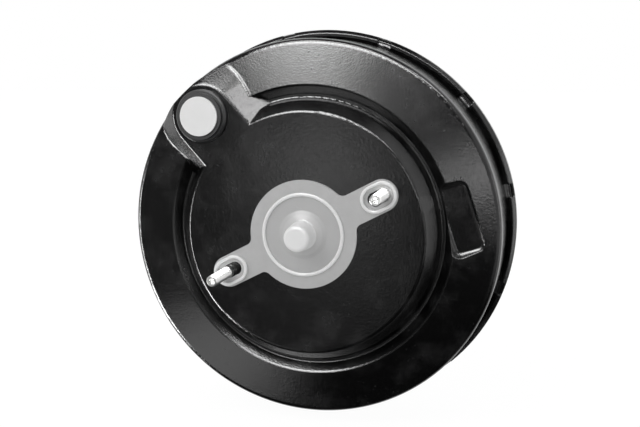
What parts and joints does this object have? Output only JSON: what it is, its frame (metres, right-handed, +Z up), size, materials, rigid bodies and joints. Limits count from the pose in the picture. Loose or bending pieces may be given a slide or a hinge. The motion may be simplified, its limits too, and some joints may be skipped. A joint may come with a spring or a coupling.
{
  "type": "vacuum brake booster",
  "caption": "Round vacuum brake booster with pressed steel shells, crimped rim, port lobe, control valve and input rod with boot and clevis.",
  "frame": {"origin": "centre of the four firewall studs on the rear mounting face", "axes": "+Y along the input rod towards the pedal, -Y towards the master cylinder, +Z up"},
  "size_m": [0.275, 0.2627, 0.275],
  "materials": {
    "black_paint": "semi-gloss black",
    "zinc_plate": "zinc plated",
    "stud_zinc": "zinc plated, dull",
    "rod_steel": "turned steel",
    "spring_steel": "oiled spring wire",
    "gasket_foam": "matte fibre",
    "seal_rubber": "matte",
    "bush_nylon": "natural nylon",
    "piston_resin": "phenolic resin",
    "diaphragm_rubber": "matte",
    "filter_foam": "open foam",
    "filter_felt": "felt",
    "boot_rubber": "matte",
    "white_plastic": "moulded white",
    "grommet_rubber": "satin"
  },
  "bodies": {
    "shell": {"front_shell": "black_paint", "rear_shell": "black_paint", "stud_plate": "zinc_plate", "master_cylinder_studs": "stud_zinc", "firewall_studs": "stud_zinc", "mounting_gasket": "gasket_foam", "neck_seal": "seal_rubber", "guide_bush": "bush_nylon", "seal_retainer": "zinc_plate", "vacuum_grommet": "grommet_rubber", "diaphragm": "diaphragm_rubber", "return_spring": "spring_steel", "dust_boot": "boot_rubber"},
    "transport_cover": {"transport_cover": "white_plastic"},
    "port_plug": {"port_plug": "white_plastic"},
    "piston": {"power_piston": "piston_resin", "diaphragm_plate": "zinc_plate", "reaction_disc": "seal_rubber", "output_rod": "rod_steel", "rod_adjuster": "rod_steel", "rod_retainer": "zinc_plate", "stop_key": "zinc_plate", "poppet_valve": "seal_rubber", "poppet_retainer": "zinc_plate", "poppet_spring": "spring_steel", "rod_return_spring": "spring_steel", "air_filter": "filter_foam", "silencer": "filter_felt"},
    "plunger": {"valve_plunger": "rod_steel"},
    "input_rod": {"input_rod": "rod_steel", "spring_cup": "zinc_plate", "lock_nut": "stud_zinc", "clevis": "zinc_plate"}
  },
  "joints": [
    {"name": "piston_stroke", "type": "slide", "parent": "shell", "child": "piston", "axis": [0, -1, 0], "range_m": [0, 0.032], "stiffness_N_per_m": 3000, "springref_m": -0.03, "deforming": ["return_spring", "diaphragm", "dust_boot"]},
    {"name": "valve_stroke", "type": "slide", "parent": "piston", "child": "plunger", "axis": [0, -1, 0], "range_m": [0, 0.0018], "stiffness_N_per_m": 3000, "springref_m": -0.008, "deforming": ["poppet_valve", "poppet_spring", "rod_return_spring"]},
    {"name": "rod_swing", "type": "hinge", "parent": "plunger", "child": "input_rod", "pos_m": [0, -0.003, 0], "axis": [1, 0, 0], "range_deg": [-3, 3], "stiffness_Nm_per_rad": 15},
    {"name": "cover_pull", "type": "slide", "parent": "shell", "child": "transport_cover", "axis": [0, -1, 0], "range_m": [0, 0.035]},
    {"name": "plug_pull", "type": "slide", "parent": "shell", "child": "port_plug", "axis": [0, -1, 0], "range_m": [0, 0.015]}
  ]
}
